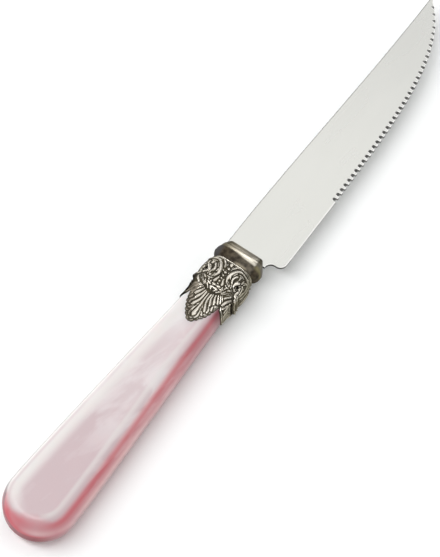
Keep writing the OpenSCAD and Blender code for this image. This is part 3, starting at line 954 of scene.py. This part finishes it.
def broad_form(x, a):
    """Slow swellings: the scroll's shoulder, the boss at the ferrule's corner, the waist
    in front of it, the seam along the beads and the brow behind the rim."""
    waist = WAIST[0] * bell(x, *WAIST[1:]) * smooth(a, 4, 6)
    brow = BROW[0] * bell(x, *BROW[1:]) * smooth(a, 6.5, 4.0)
    seam = SEAM_DEPTH * bell(a, 0, SEAM_REACH) * smooth(x, -9.9, -10.6) * smooth(x, -16.0, -15.4)
    return hump(x, a, *SHOULDER) + hump(x, a, *BOSS) + waist + brow - seam


def lean(x, a, share):
    """How far the drawing is shifted round the girth, to the edge's side where negative."""
    face = SKEW * smooth(x, *SKEW_X) + FAN_SHIFT[0] * bell(x, *FAN_SHIFT[1:])
    front = RIM_SHIFT * bell(a, 0, RIM_SHIFT_REACH) * smooth(x, *RIM_SHIFT_X)
    return face * np.cos(share * math.pi / 2) ** 2 + front


def blur(values, reach):
    """A soft average over reach grid steps, closed round the ring."""
    steps = range(-reach, reach + 1)
    for _ in range(2):
        values = sum(np.roll(values, step, axis=1) for step in steps) / len(steps)
        padded = np.pad(values, ((reach, reach), (0, 0)), mode="edge")
        rows = values.shape[0]
        values = sum(padded[first:first + rows] for first in range(len(steps))) / len(steps)
    return values


def silver_shades(x, a, share, side):
    """How far round to the side each point counts as for its colour, less where painted light
    falls on the edge's side, and the painted shade that darkens the spine's side."""
    # Painted shade on the spine's side, round its shoulder
    spine_painted_shade = smooth(share, 0.48, 0.7) * mix(1, 0.3, smooth(share, 0.78, 0.9)) * (side > 0)
    spine_painted_shade = spine_painted_shade * mix(0.7, 1, smooth(x, -14, -17))
    leaf = SIDE_LEAF_LIGHT * smooth(x, -17.5, -19.5)
    # Painted light on the edge's side lessens how far round the side a point counts
    lit = np.maximum(hump(x, a, *SIDE_LIGHT), leaf) * (side < 0)
    return share * (1 - lit), spine_painted_shade


def ferrule_grid():
    """The ferrule's outer points on a grid of rings, the lining's, how far outside the
    metal they lie, and the fields in SILVER_FIELDS."""
    share, side, up = quarter_signs(GRID_QUARTER)
    rows = np.linspace(FERRULE_X, GRID_END, GRID_ROWS)
    x, share = np.meshgrid(rows, share, indexing="ij")
    w, t = ferrule_size(x)
    a = share * quarter_girth(w, t)
    height, outside, dull = relief_field(x, a, side[None, :])
    height, dull = with_rim(x, height, dull)
    wall = smooth(outside, 0.0, 0.14)
    rise = mix(GROUND + height + broad_form(x, a), -DIVE - LEAF_T, wall)
    lowest = mix(METAL_FLOOR, LEAF_FLOOR, smooth(x, HANDLE_X + LEAF_LEAD, HANDLE_X))
    rise = np.maximum(rise, np.where(wall < 0.5, lowest, -np.inf))
    y, z, ny, nz = section_point(w, t, side * a + lean(x, a, share))
    points = np.stack([x, y + ny * rise, up * (z + nz * rise)], -1)
    inner = np.where(x < HANDLE_X, -LEAF_T - 0.02, -SHELL - 0.3)
    lining = np.stack([x, y + ny * inner, up * (z + nz * inner)], -1)
    flank, spine_painted_shade = silver_shades(x, a, share, side)
    cavity = height - blur(height, CAVITY_REACH)
    fields = dict(zip(SILVER_FIELDS, (height, cavity, flank, spine_painted_shade, dull)))
    return points, lining, outside, fields


def border_walls(quads, columns, count):
    """Quads from the outer skin's open edges to the lining's, but for the front ring's."""
    edges = np.concatenate([quads[:, [i, (i + 1) % 4]] for i in range(4)])
    ordered = np.sort(edges, axis=1)
    code = ordered[:, 0] * count + ordered[:, 1]
    _, first, number = np.unique(code, return_index=True, return_counts=True)
    open_edges = edges[first[number == 1]]
    a, b = open_edges[~(open_edges < columns).all(axis=1)].T
    return np.stack([b, a, a + count, b + count], -1)


def ferrule_mesh():
    """A closed shell: the relief outside, a lining inside, and walls at the leaves' edges."""
    points, lining, outside, fields = ferrule_grid()
    rows, columns = points.shape[:2]
    count = rows * columns
    skin = ring_quads(rows, columns)
    sunk = (outside > 0.2).ravel()
    skin = skin[~sunk[skin].all(axis=1)]
    quads = np.concatenate([skin, skin[:, ::-1] + count, border_walls(skin, columns, count)])
    ring = np.arange(columns)
    after = (ring + 1) % columns
    caps = np.concatenate([
        np.stack([after, ring, np.full(columns, 2 * count)], -1),
        np.stack([ring + count, after + count, np.full(columns, 2 * count + 1)], -1)])
    lining[0, :, 0] -= SHELL
    centres = [[FERRULE_X, 0, 0], [FERRULE_X - SHELL, 0, 0]]
    everything = np.concatenate([points.reshape(-1, 3), lining.reshape(-1, 3), centres])
    used = np.zeros(len(everything), bool)
    used[quads] = True
    used[caps] = True
    index = np.cumsum(used) - 1
    zeros = np.zeros(count + len(centres))
    attributes = {
        name: np.concatenate([values.ravel(), zeros])[used] for name, values in fields.items()
    }
    return everything[used], index[quads].tolist() + index[caps].tolist(), attributes


SILVER = srgb(226, 220, 208)
SILVER_DULL = srgb(150, 143, 128)
PATINA = srgb(66, 62, 52)
PATINA_WARM = srgb(88, 82, 66)
PATINA_OLIVE = srgb(98, 93, 77)
PATINA_AND_PAINTED_SHADE_BLACK = srgb(26, 23, 21)
SILVER_SIDE = srgb(176, 170, 152)
SILVER_BROWN = srgb(132, 122, 108)
SILVER_PAINTED_SHADE = srgb(40, 34, 33)
SILVER_GRAZING = srgb(150, 146, 136)


def silver_material():
    """Antique silver: bright where it is buffed, dark with patina in the hollows and darker down
    the sides, partly less buffed and partly painted shade, with painted shade on the spine's
    side and painted light on the edge's side.
    """
    material, tree, shader = new_material("antique_silver_cast")
    relief, cavity, flank, spine_painted_shade, dull = (attribute(tree, name) for name in SILVER_FIELDS)
    speck = noise(place(tree), 1.3, 3, 0.6)
    stain = noise(place(tree), 0.35, 3, 0.5)
    wear_and_painted_highlight = plus(times(cavity, 2.0), relief)
    wear_and_painted_highlight = plus(wear_and_painted_highlight, remap(speck, 0.3, 0.7, -0.1, 0.1))
    bright = times(remap(wear_and_painted_highlight, 0.06, 0.52), remap(spine_painted_shade, 0, 1, 1, 0.5))
    silver = layered(
        SILVER,
        # Darker down the sides: partly less buffed and partly painted shade
        (remap(flank, 0.4, 0.75), SILVER_SIDE),
        (times(dull, 0.85), SILVER_BROWN),
        (spine_painted_shade, SILVER_PAINTED_SHADE))
    dark = layered(
        PATINA,
        (remap(stain, 0.4, 0.7), PATINA_WARM),
        (remap(flank, 0.55, 0.8), PATINA_OLIVE),
        # Painted shade on the spine's side, then black patina in the deepest hollows
        (spine_painted_shade, PATINA_AND_PAINTED_SHADE_BLACK),
        (remap(relief, -0.05, -0.35), PATINA_AND_PAINTED_SHADE_BLACK))
    feed(shader, {
        "Base Color": blend(bright, dark, silver),
        "Roughness": remap(bright, 0.0, 1.0, 0.75, 0.26),
        "Metallic": remap(bright, 0.0, 0.6, 0.15, 1.0),
        "Specular IOR Level": 0.02,
        "Specular Tint": SILVER_GRAZING,
        "Normal": bump(speck, 0.02, 0.4)})
    return material


# Collar. Its half sizes over and beside the blade's middle, its shift towards the spine
# and its squareness, each as (x, value) from the front to the back.

COLLAR_QUARTER = 48
COLLAR_RINGS = 61
COLLAR_EDGE_RINGS = (-0.06, -0.12, -1.04, -1.08, -5.9, -5.96)
COLLAR_TOP = ((0.0, 4.54), (-0.12, 4.66), (-1.0, 4.92), (-1.08, 4.9), (-1.55, 5.14),
              (-1.85, 5.2), (-2.1, 5.15), (-2.5, 4.99), (-2.8, 4.8), (-3.3, 4.5), (-4.2, 4.05),
              (-5.1, 3.72), (-6.0, 3.5))
COLLAR_SIDE = ((0.0, 5.95), (-0.5, 6.35), (-1.3, 6.95), (-2.2, 7.5), (-3.2, 7.95),
               (-4.3, 8.1), (-5.1, 7.8), (-5.7, 7.2), (-6.0, 6.8))
COLLAR_SHIFT = ((0.0, -0.5), (-1.5, -0.2), (-3.0, 0.2), (-4.5, 0.42), (-6.0, 0.45))
COLLAR_POWER = ((0.0, 11.0), (-1.2, 6.5), (-2.4, 3.8), (-6.0, 3.4))


def along(table, xs):
    """Values at xs of a table of (x, value) from the front to the back."""
    points = np.array(table)[::-1]
    return np.interp(xs, points[:, 0], points[:, 1])[:, None]


def collar_mesh():
    """Squarish rings from the front edge to the back, squarest at the front."""
    even = np.linspace(0, -COLLAR_LEN, COLLAR_RINGS)
    xs = np.unique(np.concatenate([even, COLLAR_EDGE_RINGS]))[::-1]
    power = along(COLLAR_POWER, xs)
    share, y_sign, z_sign = quarter_signs(COLLAR_QUARTER)
    angle = share[None, :] * math.pi / 2
    y = np.sin(angle)
    z = np.cos(angle)
    size = (y ** power + z ** power) ** (1 / power)
    x = np.broadcast_to(xs[:, None], size.shape)
    y = along(COLLAR_SIDE, xs) * y / size * y_sign + along(COLLAR_SHIFT, xs)
    z = along(COLLAR_TOP, xs) * z / size * z_sign
    rows, columns = size.shape
    count = rows * columns
    faces = ring_quads(rows, columns).tolist()
    last = count - columns
    faces += [[(i + 1) % columns, i, count] for i in range(columns)]
    faces += [[last + i, last + (i + 1) % columns, count + 1] for i in range(columns)]
    centres = [[0, 0, 0], [-COLLAR_LEN, 0, 0]]
    points = np.concatenate([np.stack([x, y, z], -1).reshape(-1, 3), centres])
    flank = np.concatenate([np.broadcast_to(share[None, :], size.shape).ravel(), [0, 0]])
    return points, faces, {"flank": flank}


SILVER_FRONT = srgb(126, 121, 110)
SILVER_CREST = srgb(204, 198, 184)
HOLLOW_DARK = srgb(40, 33, 25)
HOLLOW_BROWN = srgb(76, 64, 47)
HOLLOW_GOLD = srgb(128, 120, 88)
HOLLOW_PAINTED_HIGHLIGHT = srgb(150, 140, 120)
HOLLOW_SLATE = srgb(68, 67, 70)

# Stretches over which the collar's shades come in, along the knife and across it
FRONT_END_X = (-1.5, -1.75)
FRONT_ROUGH_X = (-1.5, -1.8)
CREST_X = (-1.75, -2.0)
HOLLOW_X = (-2.4, -2.9)
GOLD_X = (-4.2, -3.2)
PAINTED_HIGHLIGHT_X = (-4.6, -5.4)
EDGE_END_Y = (-5.4, -6.2)
PAINTED_CREST_Y = (3, -4)
PAINTED_SPINE_SHADE_Y = (-3.5, 4)
PAINTED_SPINE_DARK_Y = (1.5, 5.5)
GOLD_Y = (-5.0, -6.8)
PAINTED_HIGHLIGHT_Y = ((1.0, -1.0), (-4.6, -3.2))
SLATE_Y = (5.2, 6.8)


def collar_material():
    """Antique silver: a grey front that is painted shade, a bright crest widened to the edge's
    side by painted highlight, and dark brown patina in the hollow with a painted highlight on
    the edge's side; the crest is painted duller to the spine as shade, and all of it is duller
    at the two ends."""
    material, tree, shader = new_material("antique_silver_plain")
    flank = attribute(tree, "flank")
    x, y = (knife_place(tree, axis) for axis in (ALONG, ACROSS))
    stain = noise(place(tree), 0.5, 4, 0.6)
    speck = noise(place(tree), 2.5, 3, 0.6)
    brush = noise(place(tree, (1, 0.1, 1)), 4.0, 2, 0.5)
    before_end = remap(y, *EDGE_END_Y, 1.0, 0.0)
    # Painted highlight: the crest's bright band reaches further back towards the edge's side
    painted_crest_reach = times(remap(y, *PAINTED_CREST_Y, 0.0, 0.5), before_end)
    hollow = times(remap(plus(x, painted_crest_reach), *HOLLOW_X),
                   remap(stain, 0.2, 0.75, 1.0, 0.8))
    silver = layered(
        SILVER,
        (remap(brush, 0.3, 0.7), SILVER_DULL),
        # The grey front bevel is painted shade
        (remap(x, *FRONT_END_X, 0.85, 0.0), SILVER_FRONT),
        (remap(x, *CREST_X), SILVER_CREST),
        # Painted shade: the crest turns duller and darker towards the spine
        (remap(y, *PAINTED_SPINE_SHADE_Y, 0.0, 0.9), SILVER_DULL),
        (remap(y, *PAINTED_SPINE_DARK_Y, 0.0, 0.8), PATINA_WARM),
        (remap(before_end, 0, 1, 0.75, 0.0), PATINA_WARM))
    # A painted highlight in the hollow near the ferrule's rim, on the edge's side
    wear_and_painted_highlight = [remap(y, *stretch) for stretch in PAINTED_HIGHLIGHT_Y]
    wear_and_painted_highlight = times(remap(x, *PAINTED_HIGHLIGHT_X), times(*wear_and_painted_highlight))
    brown = layered(
        HOLLOW_DARK,
        (remap(stain, 0.35, 0.7), HOLLOW_BROWN),
        (times(remap(y, *GOLD_Y), remap(x, *GOLD_X)), HOLLOW_GOLD),
        (wear_and_painted_highlight, HOLLOW_PAINTED_HIGHLIGHT),
        (remap(y, *SLATE_Y), HOLLOW_SLATE))
    ends = times(remap(flank, 0.55, 0.8, 0.0, 0.7), remap(hollow, 0, 1, 1, 0.3))
    rough = plus(remap(brush, 0.3, 0.7, 0.28, 0.4), times(hollow, 0.35))
    feed(shader, {
        "Base Color": layered(silver, (hollow, brown), (ends, PATINA_WARM)),
        "Roughness": plus(rough, remap(x, *FRONT_ROUGH_X, 0.0, 0.14)),
        "Metallic": remap(hollow, 0.0, 1.0, 1.0, 0.0),
        "Specular IOR Level": 0.08,
        "Normal": bump(speck, 0.01, 0.4)})
    return material


# Blade and cement

STEEL = srgb(219, 219, 214)
STEEL_TIP = srgb(210, 210, 206)
STEEL_CUT = srgb(80, 78, 74)
STEEL_GULLET = srgb(48, 46, 42)
STEEL_SPINE = srgb(150, 149, 145)
STEEL_EDGE = srgb(176, 175, 171)
STEEL_BRIGHT = srgb(254, 254, 252)
CEMENT = srgb(216, 205, 176)
CEMENT_DARK = srgb(190, 176, 140)
BLADE_LEN = (blade_box[1].x - collar_box[1].x) / MM
EDGE_ROUND = 0.5
BEVEL_SAMPLES = 6
FADE = 0.4
HEEL_END = 6.5
TEETH_START = 31.5
FIRST_GULLET_SHARE = 0.29
LAST_GULLET_SHARE = 0.55
TOOTH_PITCH = 2.05
TIP_X = (35, 105)
EDGE_FADE_X = (62, BLADE_LEN)
GULLET_FADE_X = (70, BLADE_LEN)


def gullet_shade(x, tilt):
    """1 on the ground edge within each gullet, which is painted dark as shade. tilt is the
    rounded normal's y.
    """
    from_first = math_node("SUBTRACT", x, FIRST_GULLET_SHARE * BLADE_LEN)
    count = math_node("DIVIDE", from_first, TOOTH_PITCH)
    phase = math_node("FRACT", plus(count, 0.5))
    aside = math_node("ABSOLUTE", math_node("SUBTRACT", phase, 0.5))
    shrunk = remap(x, BLADE_LEN / 2, BLADE_LEN, 1.0, LAST_GULLET_SHARE, smoothly=False)
    aside = math_node("DIVIDE", aside, shrunk)
    return times(remap(aside, 0.3, 0.22), remap(tilt, -0.1, -0.3))


def steel_material():
    """Polished sheet with a faint lengthwise grain, a little darker to the tip as painted shade,
    a bright ground edge that is partly painted highlight, gullets painted dark as shade, and
    duller where it was cut."""
    material, tree, shader = new_material("blade_steel")
    x = knife_place(tree, ALONG)
    grain = noise(place(tree, (0.02, 1, 1)), 6.0, 4, 0.6)
    cloud = noise(place(tree, (0.3, 1, 1)), 0.12, 3)
    true_normal = add(tree, "ShaderNodeNewGeometry").outputs["True Normal"]
    normal = add(tree, "ShaderNodeSeparateXYZ", {0: true_normal}).outputs
    rounded = add(tree, "ShaderNodeBevel", {"Radius": EDGE_ROUND * MM}, samples=BEVEL_SAMPLES)
    turned = add(tree, "ShaderNodeSeparateXYZ", {0: rounded.outputs[0]}).outputs
    rounded_x, along_x, up = (
        math_node("ABSOLUTE", part) for part in (turned[0], normal[0], normal[2]))
    faded = remap(x, *EDGE_FADE_X, 1.0, 0.6)
    toothed = remap(x, TEETH_START, TEETH_START + FADE)
    marked = times(toothed, faded)
    # The bright edge is partly the real ground edge and partly painted highlight
    ground = plus(times(marked, remap(rounded_x, 0.05, 0.3)),
                  times(remap(turned[1], -0.03, -0.3), faded), clamp=True)
    gullet = times(gullet_shade(x, turned[1]), marked)
    face = layered(
        STEEL,
        # Darker towards the tip: painted shade
        (remap(x, *TIP_X), STEEL_TIP),
        (remap(grain, 0.2, 0.8, 0.0, 0.015), STEEL_CUT),
        (remap(turned[1], 0.04, 0.4, 0.0, 0.9), STEEL_CUT),
        (ground, STEEL_BRIGHT),
        # Gullets painted dark as shade
        (times(gullet, 0.85), STEEL_GULLET))
    # The teeth's cut walls are painted dark as shade, less on faces along the knife
    round_end = times(times(toothed, remap(along_x, 0.6, 0.9, 1.0, 0.35)),
                      remap(x, *GULLET_FADE_X, 1.0, 0.7))
    cut = layered(
        STEEL_EDGE,
        (remap(x, HEEL_END + FADE, HEEL_END), STEEL_CUT),
        (round_end, STEEL_GULLET),
        (remap(normal[1], 0.2, 0.6), STEEL_SPINE))
    feed(shader, {
        "Base Color": blend(remap(up, 0.6, 0.3), face, cut),
        "Roughness": remap(cloud, 0.3, 0.7, 0.24, 0.28),
        "Metallic": 1.0})
    return material


def cement_material():
    """Cured epoxy, mottled and matt."""
    material, tree, shader = new_material("cement")
    mottle = noise(place(tree), 0.6, 4, 0.6)
    feed(shader, {
        "Base Color": blend(remap(mottle, 0.3, 0.7), CEMENT, CEMENT_DARK),
        "Roughness": 0.6,
        "Normal": bump(mottle, 0.1, 0.5)})
    return material


def dress_nodes():
    dress(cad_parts["blade"], steel_material())
    dress(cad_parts["tang_cement"], cement_material())


# Stage

FLOOR_SIZE = 3.0
FLOOR_WHITE = (0.925, 0.935, 0.935, 1.0)
FLOOR_GLOW = 0.075


def floor_material():
    """Diffuse white that carries the shadow, and a glow that only sight, gloss and
    transmission see."""
    material, tree, shader = new_material("floor_white")
    tree.nodes.remove(shader)
    path = add(tree, "ShaderNodeLightPath").outputs
    seen = plus(path["Is Camera Ray"], path["Is Glossy Ray"])
    seen = plus(seen, path["Is Transmission Ray"], clamp=True)
    glow = times(seen, FLOOR_GLOW)
    white = add(tree, "ShaderNodeBsdfDiffuse", {"Color": FLOOR_WHITE})
    light = add(tree, "ShaderNodeEmission", {"Strength": glow})
    both = add(tree, "ShaderNodeAddShader", {0: white.outputs[0], 1: light.outputs[0]})
    feed(tree.nodes["Material Output"], {"Surface": both.outputs[0]})
    return material


def make_floor():
    half = FLOOR_SIZE / 2
    mesh = bpy.data.meshes.new("floor")
    corners = [(-half, -half, 0), (half, -half, 0), (half, half, 0), (-half, half, 0)]
    mesh.from_pydata(corners, [], [(0, 1, 2, 3)])
    floor = new_object("floor", mesh)
    dress(floor, floor_material())


WORLD_LEVEL = 0.22

# Soft lights, as name, direction, distance, width, height and radiance
SOFTBOXES = (
    ("key_softbox", (-0.33, 0.3, 0.89), 1.4, 0.45, 1.55, 6.3),
    ("overhead_softbox", (0.39, 0.24, 0.88), 1.5, 1.1, 1.1, 0.92),
    ("edge_softbox", (0.39, -0.3, 0.87), 1.4, 0.4, 0.5, 2.2),
    ("spine_softbox", (0.1, 0.92, 0.38), 1.2, 1.0, 0.5, 1.6),
    ("front_softbox", (0.92, 0.27, 0.28), 1.4, 0.5, 0.5, 2.0),
    ("fill_softbox", (0.1, -0.8, 0.6), 1.4, 1.2, 0.7, 1.4),
)


def make_softbox(name, direction, distance, width, height, radiance):
    """A rectangular soft light that faces the knife, width along it and height across
    it. Radiance 1 shows as white."""
    lamp = bpy.data.lights.new(name, "AREA")
    lamp.shape = "RECTANGLE"
    lamp.size = width
    lamp.size_y = height
    lamp.energy = radiance * math.pi * width * height
    box = new_object(name, lamp)
    away = Vector(direction).normalized()
    box.location = away * distance
    box.rotation_mode = "QUATERNION"
    across = Vector((0, 1, 0)).cross(away).normalized()
    turned = Matrix((across, away.cross(across), away)).transposed()
    box.rotation_quaternion = turned.to_quaternion()


def light_scene():
    world = bpy.data.worlds.new("studio")
    bpy.context.scene.world = world
    world.use_nodes = True
    sky = world.node_tree.nodes["Background"]
    feed(sky, {"Color": (1, 1, 1, 1), "Strength": WORLD_LEVEL})
    for box in SOFTBOXES:
        make_softbox(*box)


# Camera. The focal length is in pixels of the photo, and the film height is the
# photo's height.

CAMERA_ELEVATION = 61.344
CAMERA_TURN = 54.057
CAMERA_DISTANCE = 1100.0
CAMERA_TARGET = (-10.858, 1.780, 0.0)
CAMERA_CLIP = (0.05, 10.0)
FOCAL_PIXELS = 3612.27
PHOTO_HEIGHT = 557
SENSOR_WIDTH = 36.0


def make_camera():
    e, turn = math.radians(CAMERA_ELEVATION), math.radians(CAMERA_TURN)
    right = Vector((math.cos(turn), -math.sin(turn), 0))
    up = Vector((math.sin(turn) * math.sin(e), math.cos(turn) * math.sin(e), math.cos(e)))
    back = right.cross(up)
    data = bpy.data.cameras.new("camera")
    data.sensor_width = SENSOR_WIDTH
    data.lens = FOCAL_PIXELS / PHOTO_HEIGHT * SENSOR_WIDTH
    data.clip_start, data.clip_end = CAMERA_CLIP
    camera = new_object("camera", data)
    position = Vector(to_frame(CAMERA_TARGET)) + back * CAMERA_DISTANCE * MM
    turned = Matrix((right, up, back)).transposed().to_4x4()
    camera.matrix_world = Matrix.Translation(position) @ turned
    bpy.context.scene.camera = camera


# Pieces, as name, CAD node, slot, mesh, material and the angle of a sharp edge
PIECES = (
    ("handle_body", "handle", "pearl_acrylic", handle_mesh, handle_material, 35),
    ("ferrule_relief", "ferrule", "antique_silver", ferrule_mesh, silver_material, None),
    ("collar_band", "collar", "antique_silver", collar_mesh, collar_material, 40),
)

bpy.context.scene.view_settings.view_transform = "Standard"
make_camera()
make_floor()
light_scene()
dress_nodes()
for name, node, slot, mesh, material, sharp_angle in PIECES:
    make_piece(name, node, mesh(), material(), sharp_angle)
